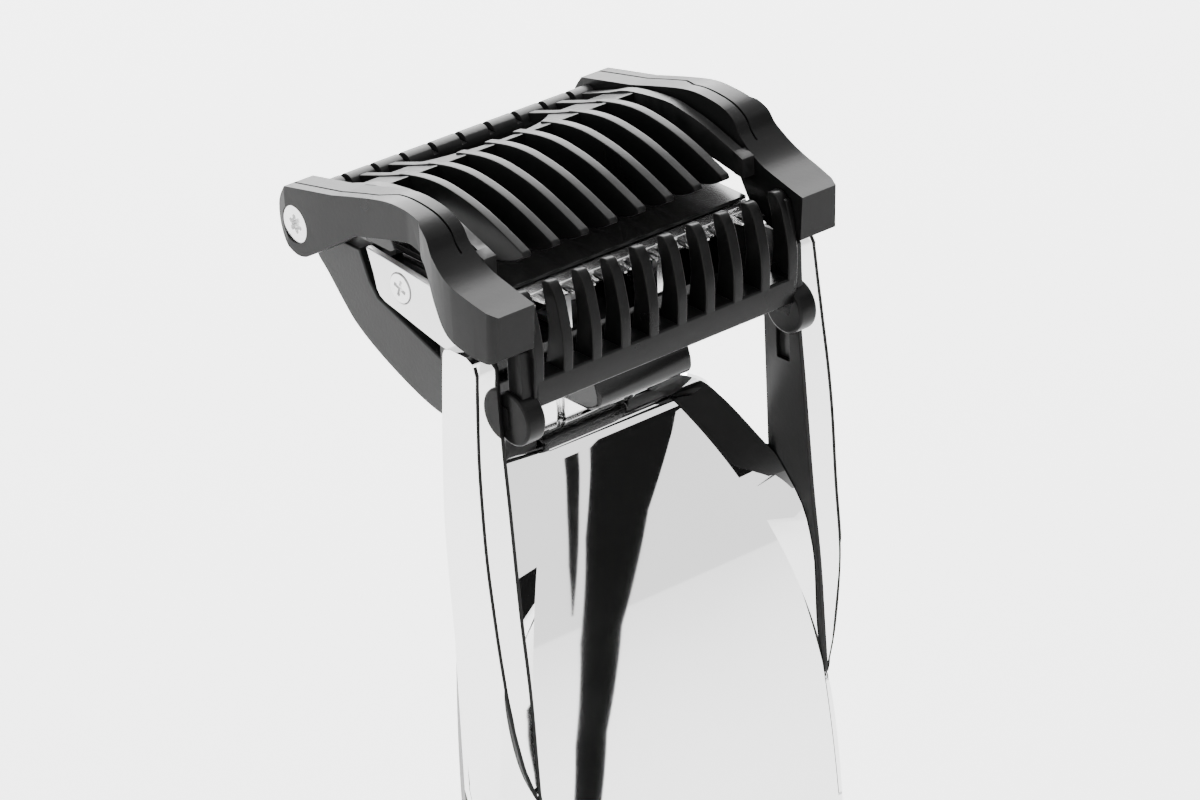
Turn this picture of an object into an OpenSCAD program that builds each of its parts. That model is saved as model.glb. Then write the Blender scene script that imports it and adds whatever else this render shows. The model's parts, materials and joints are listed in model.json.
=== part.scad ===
// Rechargeable hair and beard clipper: handle, fork arms, cutting head and lifting comb.
// X is across the handle, -Y is the front where the blade looks, Z runs up the handle.

/* [Handle] */
// Half width of the handle where the metal housing is widest
handle_half_w = 23; // [22.6:0.1:23.4]
// Half width of the handle at its base
base_half_w = 20; // [19.5:0.1:21]
// How far the front of the handle stands from the blade axis
handle_front = 13.5; // [13:0.1:14]
// How far the back of the handle stands from the blade axis
handle_back = 17.5; // [17:0.1:18]
// Height of the top of the metal housing
housing_top = 150.4; // [150:0.1:151]
// Wall thickness of the housing shells
wall = 1.8; // [1.6:0.1:1.9]
// Height of the base cap
cap_h = 12; // [11:0.5:13]

/* [Fork arms] */
// Inner face of each arm
arm_in = 19.9; // [19.8:0.05:20]
// Outer face of each arm at its widest
arm_out = 24; // [23.9:0.1:24]
// Top of the arms
arm_top = 167; // [166:0.5:167.2]
// Width of the guide slot in each arm
slot_w = 2; // [1.8:0.1:2.2]

/* [Comb] */
// Spacing of the comb's ribs and front teeth
rib_pitch = 3.8; // [3.7:0.05:3.85]
// Number of free ribs between the two side rails
rib_count = 8; // [8:1:8]
// Thickness of a rib
rib_t = 1.1; // [0.9:0.1:1.3]
// Thickness of a front tooth
tooth_t = 1.3; // [1.1:0.1:1.5]

/* [Blade] */
// Half width of the blades' edge
blade_half_w = 16.8; // [16:0.1:17]
// Spacing of the blade teeth
blade_pitch = 1.4; // [1.4:0.05:1.5]
// Throw of the drive's eccentric
throw = 1.2; // [1:0.1:1.3]

/* [Zoom wheel] */
// Pitch radius of the pinion on the zoom wheel
pinion_r = 4.5; // [4.5:0.1:4.5]
// Teeth on the pinion
pinion_teeth = 18; // [18:1:18]
// Radius of the zoom wheel
wheel_r = 8; // [7.5:0.1:8]

/* [Hidden] */
$fn = 48;
far = 200;

// Colours
metal = [0.86, 0.87, 0.88];
steel = [0.72, 0.73, 0.75];
dark = [0.17, 0.17, 0.18];
satin = [0.09, 0.09, 0.10];
gloss = [0.03, 0.03, 0.035];

// Housing outline: heights where the curves start, and the radii that carry them to the top
shoulder_z = 112;
shoulder_r = 69.9;
front_z = 90;
front_r = 146.8;
back_z = 100;
back_r = 214.7;
levels = [0, 12, 30, 55, 75, 90, 100, 106, 112, 118, 122, 126, 128.5, 131.3, 134.7, 137.5, 139.3, 140.7,
    143.5, 145.6, 147.8, housing_top];
// Upper outline of the housing between the arms, and the crest that joins it to them (height, y)
crown_z = 123.2;
crown_r = 39.5;
crest = [[122, -10.4], [126, -10.5], [128.5, -10.4], [131.3, -9.9], [134.7, -9], [137.5, -6.7], [139.3, -4.8],
    [140.7, -3.1], [143.5, -2], [147.8, -0.6], [150.4, 0.2]];
side_y = -2;

// Where the chrome housing gives way to the dark grip, seen from the side
seam = [[-30, 96.6], [-14, 99.6], [-8.5, 104], [-4, 110], [-1.3, 116.6], [2, 126.6], [8, 133.6], [30, 137.6]];
split_y = 3;

// Drive and zoom wheel axes
drive_y = 6.2;
wheel_y = -7.5;
wheel_z = 84;
rack_y = wheel_y + pinion_r;
rack_step = 2 * PI * pinion_r / pinion_teeth;
tooth_h = 0.5;

// Arm and comb depths
arm_front = -8.2;
arm_back = -2.9;
slot_y = -6;
slot_floor = 151.8;
boss_y = -9.2;
boss_z = 159.8;
boss_r = 2.9;
leg_in = 17.2;
leg_out = 19;
strip_in = 20.5;
strip_out = 21.1;
rail_x = (rib_count + 1) * rib_pitch / 2;

// Screws that hold the rear grip, and the charging socket
screw_z = [26, 97];
socket_y = 6.5;
button_z = 50;
battery_y = 4.6;

// Head levels
blade_z = 170.8;
yoke_z = 166.4;
pin_r = 1;

function round_off(z, z0, r) = z <= z0 ? 0 : r - sqrt(r * r - (z - z0) * (z - z0));
function ease(t) = (1 - cos(180 * max(0, min(1, t)))) / 2;
function half_w(z) = min(handle_half_w, arm_out - round_off(z, crown_z, crown_r))
    - (handle_half_w - base_half_w) * ease((shoulder_z - z) / 80);
function front_y(z) = -handle_front + round_off(z, front_z, front_r)
    - (z < front_z ? 1.2 * sin(180 * (front_z - z) / front_z) : 0);
function back_y(z) = handle_back - round_off(z, back_z, back_r) - 1.5 * ease((back_z - z) / 100);
function facet_w(z) = handle_half_w - 2.5 - round_off(z, shoulder_z, shoulder_r)
    - (handle_half_w - base_half_w) * ease((shoulder_z - z) / 80) - 0.035 * max(0, z - shoulder_z);
function crest_x(z) = z < 122 ? facet_w(z) + 1.3 : min(arm_in + 0.1, half_w(z) - 0.5);
function crest_y(z) = z < 122 ? front_y(z) + 1.7 : lookup(z, crest);
function brow_y(z) = z < 122 ? front_y(z) + 3.4 : max(-5, lookup(z, crest) + 0.8);

// One level of the handle, drawn in by a wall thickness t: front facet, crest, sides, keel-shaped back
function section(z, t) = let (w = half_w(z) - t, f = front_y(z) + t, b = back_y(z) - t,
        c = facet_w(z) - 0.6 * t, q = crest_x(z) - t, g = crest_y(z) + t, s1 = max(g + 0.5, brow_y(z)),
        s2 = max(s1 + 0.9, side_y), d = b - 1.2 - side_y, m = 0.38 * w,
        right = [[c, f], [q, g], [w, s1], [w, s2], [(w + m + 1.8) / 2, side_y + 0.5 * d], [m + 1.6, b - 1.2],
                 [m - 1.2, b]])
    concat(right, [for (i = [len(right) - 1 : -1 : 0]) [-right[i].x, right[i].y]]);

module loft(t, top = 0, bottom = 0) {
    zs = [for (i = [0 : len(levels) - 1])
        i == 0 ? levels[i] + bottom : i == len(levels) - 1 ? levels[i] - top : levels[i]];
    n = len(section(0, 0));
    points = [for (z = zs) for (p = section(z, t)) [p.x, p.y, z]];
    sides = [for (k = [0 : len(zs) - 2]) for (i = [0 : n - 1])
        [k * n + i, (k + 1) * n + i, (k + 1) * n + (i + 1) % n, k * n + (i + 1) % n]];
    floor_face = [[for (i = [0 : n - 1]) i]];
    roof_face = [[for (i = [0 : n - 1]) len(points) - 1 - i]];
    polyhedron(points, concat(sides, floor_face, roof_face), convexity = 4);
}

// Extrudes a side-view outline (y, z) across X, from x0 to x1
module side_slab(points, x0, x1) {
    translate([x0, 0, 0])
        rotate([90, 0, 90]) linear_extrude(x1 - x0) polygon(points);
}

module box(x0, x1, y0, y1, z0, z1) {
    translate([x0, y0, z0]) cube([x1 - x0, y1 - y0, z1 - z0]);
}

module along_x(r, x0, x1, y, z, sides = 48) {
    translate([x0, y, z]) rotate([0, 90, 0]) cylinder(r = r, h = x1 - x0, $fn = sides);
}

module along_y(r, x, y0, y1, z, sides = 48) {
    translate([x, y1, z]) rotate([90, 0, 0]) cylinder(r = r, h = y1 - y0, $fn = sides);
}

module upright(r, x, y, z0, z1, sides = 48) {
    translate([x, y, z0]) cylinder(r = r, h = z1 - z0, $fn = sides);
}

module mirrored() {
    children();
    mirror([1, 0, 0]) children();
}

// ---- Housing shells ----

module chrome_zone() {
    side_slab(concat(seam, [[30, 160], [-30, 160]]), -40, 40);
}

// Side view of an arm, grown by g: leaning a little above, sweeping forward to a point at the seam
function arm_outline(g, top) = [[arm_front - g, top - 1.4], [-8.5 - g, 157], [-9 - g, 150], [-9.8 - g, 138],
    [-10.5 - g, 131], [-10.8 - g, 127], [-11.1 - g, 121], [-12.2 - g, 116.8], [-14.5 - g, 111.3],
    [-14.5 - g, 100.4 - g], [-8.5, 104.6 - g], [-4, 110.6 - g], [arm_back + g, 114.9], [arm_back + g, top - 0.6],
    [arm_back - 1.2, top], [arm_front + 1.6, top]];

// Front view of an arm (x, z): it bulges a little half way up
arm_face = [[15, 130.5], [23.5, 130.5], [23.8, 138], [arm_out, 145], [23.9, 151], [23.6, 157], [23.3, 161],
    [23, 165], [22.7, arm_top + 0.5], [15, arm_top + 0.5]];

module arm_pocket() {
    mirrored() side_slab(arm_outline(0.1, 175), arm_in - 0.1, 30);
}

module shell() {
    difference() {
        loft(0);
        loft(wall, wall, -5);
        arm_pocket();
        upright(5, 0, drive_y, 140, 160);
    }
}

module housing_front() {
    color(metal) intersection() {
        shell();
        chrome_zone();
        box(-40, 40, -40, split_y, 90, 160);
    }
}

module housing_rear() {
    color(metal) intersection() {
        shell();
        chrome_zone();
        box(-40, 40, split_y, 40, 90, 160);
    }
}

module grip_zone() {
    difference() {
        box(-40, 40, -40, 40, cap_h, 145);
        chrome_zone();
    }
}

module grip_front() {
    color(dark) difference() {
        intersection() {
            shell();
            grip_zone();
            box(-40, 40, -40, split_y, 0, 160);
        }
        box(-3.8, 3.8, -40, -8, wheel_z - 8.6, wheel_z + 8.6);
        box(3, 8.2, -12.8, -8, wheel_z - 5.4, wheel_z + 5.4);
        mirrored() box(strip_in - 1.5, strip_out + 0.15, slot_y - 1.65, slot_y + 1.65, 93.8, 118);
        along_y(5.2, 0, -30, -8, button_z);
    }
}

module grip_rear() {
    color(dark) difference() {
        intersection() {
            shell();
            grip_zone();
            box(-40, 40, split_y, 40, 0, 160);
        }
        for (z = screw_z) along_y(1, 0, 10, 40, z);
        for (z = screw_z) along_y(2.1, 0, back_y(z) - 1.2, 40, z);
    }
}

module base_cap() {
    color(dark) difference() {
        intersection() {
            union() {
                difference() {
                    loft(0);
                    loft(wall, wall, 2);
                }
                upright(5, 0, socket_y, 1, 11);
            }
            box(-40, 40, -40, 40, 0, cap_h);
        }
        upright(2.75, 0, socket_y, -1, 9);
    }
}

// ---- Fork arms ----

// The arms are square above, and run out into the handle's bevel below
module arm_body() {
    intersection() {
        side_slab(arm_outline(0, arm_top), arm_in, 25);
        union() {
            rotate([90, 0, 0]) linear_extrude(20) polygon(arm_face);
            hull() {
                box(15, 23.5, -12, 0, 130.5, 130.6);
                translate([0, 0, 115.5]) linear_extrude(0.1)
                    polygon([[15, -11.3], [20.4, -11.3], [handle_half_w, -7.8], [handle_half_w, 0], [15, 0]]);
            }
            intersection() {
                loft(0);
                box(15, 25, -20, 0, 90, 115.6);
            }
        }
    }
}

module arm_cover() {
    color(metal) difference() {
        arm_body();
        box(arm_in - 1, arm_in + 0.5, -20, 0, 112, 170);
        box(arm_in - 1, strip_out + 0.1, slot_y - 1.65, slot_y + 1.65, 90, 175);
    }
}

module arm_rail() {
    color(satin) difference() {
        intersection() {
            arm_body();
            box(arm_in, arm_in + 0.45, -20, arm_back - 0.1, 112.1, arm_top - 0.4);
        }
        box(arm_in - 1, arm_in + 2, slot_y - slot_w / 2, slot_y + slot_w / 2, slot_floor, arm_top + 1);
    }
}

module arm_cover_left() {
    mirror([1, 0, 0]) arm_cover();
}

module arm_cover_right() {
    arm_cover();
}

module arm_rail_left() {
    mirror([1, 0, 0]) arm_rail();
}

module arm_rail_right() {
    arm_rail();
}

// ---- Neck ----

module neck() {
    color(gloss) difference() {
        side_slab([[-5.2, 154.6], [-6.9, 155.6], [-7.1, 157], [-5.2, 161.3], [15, 161.3], [15, 156.6], [1.6, 154.6]],
            -6.4, 6.4);
        upright(3.4, 0, drive_y, 150, 165);
    }
}

module neck_collar() {
    color(metal) difference() {
        box(-9.4, 9.4, 1.4, 12, housing_top, 154.5);
        mirrored() box(4.2, 5, 0, 2.6, housing_top - 1, 156);
        upright(3.4, 0, drive_y, 145, 160);
    }
}

// ---- Inside the handle ----

module chassis() {
    color(satin) difference() {
        intersection() {
            union() {
                mirrored() box(11, 12.4, -1.4, 13.2, 14, 106);
                mirrored() box(9, 12.4, -10, -1.4, 77, 90.5);
                box(-11, 11, -1, 13.2, 14, 16.5);
                box(-11, 11, 0.6, 13.2, 70, 72);
                box(-11, 11, -1, 13.2, 103.5, 106);
                box(-11, 11, -1, 13.2, 94, 96);
                for (z = screw_z) box(-11, 11, 12, 13.2, z - 3, z + 3);
                for (z = screw_z) box(-3, 3, 13.2, 14.2, z - 3, z + 3);
            }
            loft(wall + 0.1, 1, -1);
        }
        along_x(1.2, -13, 13, wheel_y, wheel_z);
        upright(3, 0, drive_y, 100, 110);
        upright(3, 0, drive_y, 90, 98);
        for (z = screw_z) along_y(0.9, 0, 10, 16, z);
    }
}

module battery() {
    color([0.30, 0.45, 0.35]) union() {
        upright(7, 0, battery_y, 17, 66);
        upright(2.4, 0, battery_y, 66, 67.2);
    }
}

module circuit_board() {
    color([0.10, 0.28, 0.18]) union() {
        box(-10, 10, -7.2, -6, 17, 62);
        box(-2.5, 2.5, -8.6, -7.2, button_z - 2.5, button_z + 2.5);
        box(-8, -3, -6, -4.6, 24, 30);
        box(2, 7, -6, -4.4, 34, 42);
    }
}

module motor() {
    color(steel) difference() {
        union() {
            upright(7.2, 0, drive_y, 106.2, 129);
            upright(3, 0, drive_y, 129, 131);
            upright(2.4, 0, drive_y, 104.4, 106.2);
        }
        upright(1.05, 0, drive_y, 105, 140);
        for (x = [-5, 5]) upright(0.8, x, drive_y, 126, 132);
    }
}

module motor_screws() {
    color(steel) for (x = [-5, 5]) {
        upright(0.75, x, drive_y, 126.2, 130);
        upright(1.4, x, drive_y, 129.1, 130.2);
    }
}

module housing_screws() {
    color(steel) for (z = screw_z) difference() {
        union() {
            along_y(0.85, 0, 12.1, back_y(z) - 0.6, z);
            along_y(1.9, 0, back_y(z) - 1.1, back_y(z) - 0.2, z);
        }
        box(-1.3, 1.3, back_y(z) - 0.5, 20, z - 0.25, z + 0.25);
        box(-0.25, 0.25, back_y(z) - 0.5, 20, z - 1.3, z + 1.3);
    }
}

module charging_contacts() {
    color(steel) for (x = [-3.2, 3.2]) box(x - 0.5, x + 0.5, socket_y - 0.5, socket_y + 0.5, 11, 13.8);
}

module detent_spring() {
    color(steel) union() {
        box(-10.6, -8.9, -9.8, -9.3, 90.6, 93.6);
        box(-8.9, -3.4, -9.8, -9.3, 92.4, 93.6);
        box(-3.4, -2, -10.2, -9.3, 92.2, 93.6);
    }
}

// ---- Cutting head ----

plate_side = [[14.6, 171.1], [12.7, 166.1], [9.5, 165.2], [2.4, 163.7], [-3.4, 163], [-3.6, 169.4], [-3.6, 170]];

module head_frame() {
    color(gloss) difference() {
        union() {
            box(-15.2, 15.2, -3, 14.4, 161.4, 163);
            mirrored() box(15, 18, -3, 4, 161.4, 165.4);
            mirrored() box(16, 18, -3, 12.4, 165.4, 170.2);
            mirrored() box(7.2, 9.8, 3, 9, 163, 170.2);
            mirrored() box(9.8, 16, 5, 7, 163, 167);
            box(-15.2, 15.2, 11.8, 14.4, 163, 170.2);
            mirrored() box(15, 18, 11.4, 12.4, 165.4, 170.2);
        }
        upright(3.6, 0, drive_y, 160, 165);
        mirrored() along_x(0.7, 14, 20, 9, 168.2);
        mirrored() upright(0.75, 8.5, 5, 165, 172);
    }
}

module head_rear_shell() {
    color(dark) difference() {
        side_slab([[25.2, 169.6], [25.1, 166.8], [23, 164.9], [20.4, 162.2], [18.9, 160.4], [14.9, 158.2],
                   [9.9, 156.1], [5.8, 154.9], [1, 154.3], [-3.4, 156.8], [-4.2, 161.3], [4, 161.3],
                   [14.6, 164.9], [15.9, 166.4], [17.3, 169.6]], -17.8, 17.8);
        side_slab([[23.4, 171], [23.4, 167.4], [18, 161.4], [14, 159.8], [9, 157.7], [5, 156.6], [1, 156.2],
                   [-2, 157.6], [-2.6, 161.4], [4, 162], [14.6, 166], [19, 171]], -15.4, 15.4);
        side_slab([[-8, 150], [-8, 162], [15.2, 162], [15.2, 150]], -6.6, 6.6);
    }
}

module head_top_cover() {
    color(gloss) difference() {
        side_slab([[-4.3, 171], [-4.3, 171.4], [17.2, 171.8], [17.2, 170.4], [13, 170.4], [12, 171]],
            -16.9, 16.9);
        mirrored() upright(0.8, 8.5, 5, 169, 171.1);
    }
}

module head_side_plate() {
    color(steel) difference() {
        side_slab(plate_side, 18.1, 18.9);
        along_x(1.1, 17, 20, 9, 168.2);
        along_x(1.7, 18.5, 20, 9, 168.2);
    }
}

module head_side_plate_left() {
    mirror([1, 0, 0]) head_side_plate();
}

module head_side_plate_right() {
    head_side_plate();
}

module side_plate_screws() {
    color(steel) mirrored() difference() {
        union() {
            along_x(0.65, 14.6, 18.5, 9, 168.2);
            along_x(1.6, 18.5, 19, 9, 168.2);
        }
        box(18.75, 20, 8.8, 9.2, 167.3, 169.1);
        box(18.75, 20, 8.1, 9.9, 168, 168.4);
    }
}

module blade_teeth(half_w, y_tip, y_root, z0, z1) {
    count = floor(2 * half_w / blade_pitch);
    for (i = [0 : count - 1])
        translate([(i - (count - 1) / 2) * blade_pitch, 0, 0])
            linear_extrude(z1)
                polygon([[-0.42, y_root], [-0.2, y_tip], [0.2, y_tip], [0.42, y_root]]);
}

module fixed_blade() {
    color(steel) difference() {
        union() {
            side_slab([[-5.9, blade_z - 0.5], [-5.9, blade_z - 0.1], [-4.8, blade_z + 0.1], [11, blade_z + 0.1],
                       [11, blade_z - 0.5]], -blade_half_w, blade_half_w);
            intersection() {
                blade_teeth(blade_half_w, -7.9, -5.7, 0, far);
                side_slab([[-8, blade_z - 0.75], [-8, blade_z - 0.55], [-5, blade_z - 0.1], [-5, blade_z - 0.5]],
                    -20, 20);
            }
        }
        mirrored() upright(0.8, 8.5, 5, 165, 175);
    }
}

module blade_screws() {
    color(steel) mirrored() upright(0.7, 8.5, 5, 165.4, blade_z);
}

module moving_blade() {
    color(steel) union() {
        box(-13, 13, -5.4, 2.6, blade_z - 1.15, blade_z - 0.6);
        intersection() {
            blade_teeth(13, -7.2, -5.2, 0, far);
            side_slab([[-7.3, blade_z - 1.1], [-7.3, blade_z - 0.9], [-5.2, blade_z - 0.6], [-5.2, blade_z - 1.15]],
                -14, 14);
        }
    }
}

module blade_yoke() {
    slot = throw + pin_r + throw + 0.1;
    color("white") difference() {
        union() {
            box(-5.6, 5.6, -1, 2.6, 168, blade_z - 1.15);
            box(-5.6, 5.6, 2.6, 9.8, yoke_z, 168.6);
            box(-5.6, 5.6, 0.6, 2.6, 167, 168.6);
        }
        box(-slot, slot, drive_y - 2.4, drive_y + 2.4, yoke_z - 1, 172);
    }
}

module blade_spring() {
    color(steel) mirrored() union() {
        box(5.8, 6.8, -2.6, 2.4, 163.1, 163.7);
        box(5.8, 6.8, -2.6, -1.9, 163.1, 168.6);
        box(1, 6.8, -2.6, -1.9, 168.6, 169.4);
    }
}

module motor_shaft() {
    color(steel) upright(1, 0, drive_y, 112, 163.4);
}

module eccentric() {
    color("white") difference() {
        union() {
            upright(3, 0, drive_y, 161.2, 165);
            upright(pin_r, throw, drive_y, 165, 168.8);
        }
        upright(1, 0, drive_y, 160, 163.4);
    }
}

// ---- Comb ----

rib_top = [[17.4, 176.7], [14, 177.9], [11, 178.5], [8, 178.7], [5, 178.4], [2, 177.8], [-1.2, 176.8],
           [-5.4, 175.2]];
rib_bottom = [[-5.6, 174.7], [-3.4, 173.6], [0, 172.9], [5, 173], [10, 173.6], [14, 174.2], [17.4, 174.6]];

module comb_ribs() {
    color(satin) union() {
        for (i = [0 : rib_count - 1]) {
            x = (i - (rib_count - 1) / 2) * rib_pitch;
            side_slab(concat([for (p = rib_top) if (p.x < 15) p], [for (p = rib_bottom) if (p.x < 15) p]),
                x - rib_t / 2, x + rib_t / 2);
        }
        for (i = [0, 1, rib_count - 2, rib_count - 1]) {
            x = (i - (rib_count - 1) / 2) * rib_pitch;
            side_slab([[13, 177.6], [14, 177.9], [17.4, 176.7], [21.9, 175.3], [21.9, 174.3], [13, 174]],
                x - rib_t / 2, x + rib_t / 2);
        }
        difference() {
            side_slab([[13, 178], [14.2, 177.6], [18.4, 176.2], [18.4, 174.8], [13, 175.4]], -rail_x, rail_x);
            translate([0, 26.5, 170]) cylinder(r = 12, h = 10, $fn = 96);
        }
        mirrored() {
            side_slab([[21.9, 175.2], [17.4, 176.7], [14, 177.9], [8, 178.6], [5, 178.3], [2, 177.7],
                       [-1.2, 176.7], [-4.4, 175.6], [-4.4, 173.4], [2, 174.6], [13, 174.8], [21.9, 174.2]],
                rail_x - 0.6, rail_x + 0.6);
            side_slab([[-4.4, 175.6], [-3, 176.1], [-3, 173.6], [-4.4, 173.4]], rail_x - 0.6, rail_x + 1);
            side_slab([[14, 177], [2, 176.6], [-3, 175.2], [-3, 174.2], [2, 175.6], [14, 176]],
                rail_x, rail_x + 1);
        }
    }
}

frame_side = [[19.9, 169.4], [21.2, 168.7], [22.8, 168.6], [24.6, 169.6], [25.6, 171.6], [25.4, 174],
              [24, 176], [15.6, 177.6], [11, 178.8], [6.8, 179.8], [4, 180], [0.8, 179.6], [-1.3, 178.5],
              [-2.4, 176.9], [-5.2, 175], [-9.1, 173.9], [-12.1, 173.2], [-11.6, 168.1], [-10.4, 167.7],
              [-7.1, 168.1], [-4.2, 169.2], [-2.2, 172], [-0.6, 175.2], [1.6, 176.2], [4.1, 176.1],
              [12, 174.1]];
frame_plan = [[18.2, 26], [21.6, 26], [22, 24], [22, 3], [22.6, 0], [23.3, -3.4], [23.4, -7], [22.5, -12.3],
              [17.9, -12.3], [18.1, -4], [18.2, 0]];

module comb_side_frame() {
    color(satin) difference() {
        intersection() {
            side_slab(frame_side, 17, 24);
            translate([0, 0, 160]) linear_extrude(25) polygon(frame_plan);
        }
        along_x(2.1, 21, 25, 22.7, 172);
        along_x(1.15, 17, 25, 22.7, 172);
    }
}

module comb_side_frame_left() {
    mirror([1, 0, 0]) comb_side_frame();
}

module comb_side_frame_right() {
    comb_side_frame();
}

module comb_rear_bar() {
    color(satin) difference() {
        union() {
            along_x(1.2, -18.2, 18.2, 22.7, 174.3);
            box(-18.2, 18.2, 21.6, 22.7, 170.6, 174.3);
            mirrored() along_x(2.2, 15, 18.2, 22.7, 172);
        }
        for (i = [0 : rib_count])
            translate([(i - rib_count / 2) * rib_pitch - 0.35, 21, 174.6]) cube([0.7, 2.6, 3]);
        mirrored() along_x(0.8, 14, 19, 22.7, 172);
    }
}

module comb_screws() {
    color(steel) mirrored() difference() {
        union() {
            along_x(0.75, 15.2, 21.2, 22.7, 172);
            along_x(2.05, 21.05, 21.8, 22.7, 172);
        }
        along_x(0.75, 21.35, 23, 22.7, 172, 6);
    }
}

tooth_side = [[-8.2, 173.2], [-9.6, 173.2], [-10.7, 171], [-11.4, 167.5], [-11.2, 164.1], [-10.8, 161.2],
              [-8.2, 161.2], [-8.2, 164.1], [-8.5, 167]];

module front_comb() {
    color(satin) union() {
        for (i = [0 : rib_count + 1]) {
            x = (i - (rib_count + 1) / 2) * rib_pitch;
            side_slab(tooth_side, x - tooth_t / 2, x + tooth_t / 2);
        }
        side_slab([[-8.2, 160.8], [-10.8, 160.8], [-11.2, 164.1], [-8.2, 164.1]], -leg_in - 0.3, leg_in + 0.3);
        mirrored() {
            box(rail_x, 17.9, -11.3, -8.4, 166.8, 172.6);
            box(leg_in, leg_out, -10.6, -8.3, boss_z, 167.5);
            along_x(boss_r, leg_in, 19.6, boss_y, boss_z);
            box(leg_out - 0.4, arm_in - 0.1, boss_y, slot_y + 0.65, boss_z - 1, boss_z + 1.2);
            box(arm_in - 0.6, strip_in, slot_y - 0.65, slot_y + 0.65, boss_z - 1, boss_z + 1.2);
        }
    }
}

module lift_bar() {
    color(dark) box(strip_in, strip_out, slot_y - 1.5, slot_y + 1.5, 97, 161.6);
}

module lift_bar_left() {
    mirror([1, 0, 0]) lift_bar();
}

module lift_bar_right() {
    lift_bar();
}

module rack_teeth() {
    flank = rack_step / 4;
    for (i = [-1 : 8])
        translate([0, 0, wheel_z + (0.5 - i) * rack_step])
            side_slab([[rack_y + 0.7, -flank - 0.1], [rack_y + 0.7, flank + 0.1], [rack_y - tooth_h, 0.2],
                       [rack_y - tooth_h, -0.2]], 4.6, 7.4);
}

module lift_bridge() {
    color(dark) union() {
        box(-strip_out, strip_out, slot_y - 1.5, slot_y + 1.5, 94, 97);
        box(4.4, 7.6, slot_y - 1.5, rack_y + 1.4, 94, 97);
        box(4.4, 7.6, rack_y + 0.6, rack_y + 1.4, 70, 94);
        rack_teeth();
    }
}

// ---- Zoom wheel and button ----

module zoom_wheel() {
    knurls = 30;
    color(satin) difference() {
        along_x(wheel_r, -3.4, 3.4, wheel_y, wheel_z, 96);
        along_x(1.25, -4, 4, wheel_y, wheel_z);
        for (i = [0 : knurls - 1])
            translate([-4, wheel_y, wheel_z]) rotate([i * 360 / knurls, 0, 0])
                translate([0, wheel_r + 0.1, 0]) rotate([0, 90, 0]) cylinder(r = 0.4, h = 8, $fn = 4);
    }
}

module wheel_pinion() {
    flank = 90 / pinion_teeth;
    root = pinion_r - 0.65;
    tip = pinion_r + tooth_h;
    color(dark) difference() {
        union() {
            along_x(root + 0.05, 3.4, 7.8, wheel_y, wheel_z, 72);
            for (i = [0 : pinion_teeth - 1])
                translate([4.4, wheel_y, wheel_z]) rotate([i * 360 / pinion_teeth, 0, 0])
                    rotate([90, 0, 90]) linear_extrude(3.4)
                        polygon([[root - 0.3, -0.5], [pinion_r, -0.34], [tip, -0.16], [tip, 0.16],
                                 [pinion_r, 0.34], [root - 0.3, 0.5]]);
        }
        along_x(1.25, 2, 9, wheel_y, wheel_z);
    }
}

module wheel_axle() {
    color(steel) along_x(1.18, -12.4, 12.4, wheel_y, wheel_z);
}

module power_button() {
    color(satin) difference() {
        union() {
            along_y(5, 0, -15.4, -12.4, button_z);
            along_y(1.4, 0, -12.4, -9.5, button_z);
        }
        along_y(3.4, 0, -16, -15.1, button_z);
    }
}

module button_spring() {
    color(steel) difference() {
        along_y(2.6, 0, -11.7, -8.8, button_z);
        along_y(2.1, 0, -13, -8, button_z);
    }
}

housing_front();
housing_rear();
grip_front();
grip_rear();
base_cap();
arm_cover_left();
arm_cover_right();
arm_rail_left();
arm_rail_right();
neck();
neck_collar();
chassis();
battery();
circuit_board();
motor();
motor_screws();
housing_screws();
charging_contacts();
detent_spring();
head_frame();
head_rear_shell();
head_top_cover();
head_side_plate_left();
head_side_plate_right();
side_plate_screws();
fixed_blade();
blade_screws();
moving_blade();
blade_yoke();
blade_spring();
motor_shaft();
eccentric();
comb_ribs();
comb_side_frame_left();
comb_side_frame_right();
comb_rear_bar();
comb_screws();
front_comb();
lift_bar_left();
lift_bar_right();
lift_bridge();
zoom_wheel();
wheel_pinion();
wheel_axle();
power_button();
button_spring();
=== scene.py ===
# %% [markdown]
# # A hair and beard clipper with a lifting comb
# The real object is a mirror-plated handle with two fork arms, a tilted cutting
# head and a black comb that slides up the arms. The CAD model is loaded as a fixed
# frame, and every piece below is built around it, in the same place and size.

import json
import math

import bpy
from mathutils import Matrix, Vector


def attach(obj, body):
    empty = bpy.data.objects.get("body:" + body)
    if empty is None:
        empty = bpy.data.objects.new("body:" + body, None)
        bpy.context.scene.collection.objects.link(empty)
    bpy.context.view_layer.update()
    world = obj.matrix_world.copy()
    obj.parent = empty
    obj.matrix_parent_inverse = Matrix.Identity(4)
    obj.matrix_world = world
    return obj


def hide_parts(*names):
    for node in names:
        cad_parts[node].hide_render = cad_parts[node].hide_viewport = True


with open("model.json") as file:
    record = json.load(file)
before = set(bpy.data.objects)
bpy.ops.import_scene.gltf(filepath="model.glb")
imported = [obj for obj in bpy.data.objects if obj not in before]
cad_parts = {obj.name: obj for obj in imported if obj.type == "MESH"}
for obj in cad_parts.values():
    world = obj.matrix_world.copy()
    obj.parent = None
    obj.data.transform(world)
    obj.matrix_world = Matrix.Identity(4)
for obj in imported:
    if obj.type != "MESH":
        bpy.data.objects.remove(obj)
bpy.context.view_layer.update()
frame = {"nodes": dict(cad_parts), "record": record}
MM = 0.001

# %% [markdown]
# ## Sizes
# A clipper is a stack of parts that have to meet, so the sizes that several parts
# share are named once, in millimetres. X runs across the handle, -Y is the way the
# blade looks, and Z runs up from the base.

# %% Shared sizes
TOP = 150.4
ROLL = 1.7
WALL = 1.8
PARTING = 0.04
SPLIT_Y = 3
SCREW_Z = (26, 97)
CAP_TOP = 12
WHEEL_Z = 84
BUTTON_Z = 50
DRIVE_Y = 6.2
SOCKET_Y = 6.5
SHAFT_ROOM = 3.4

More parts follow.
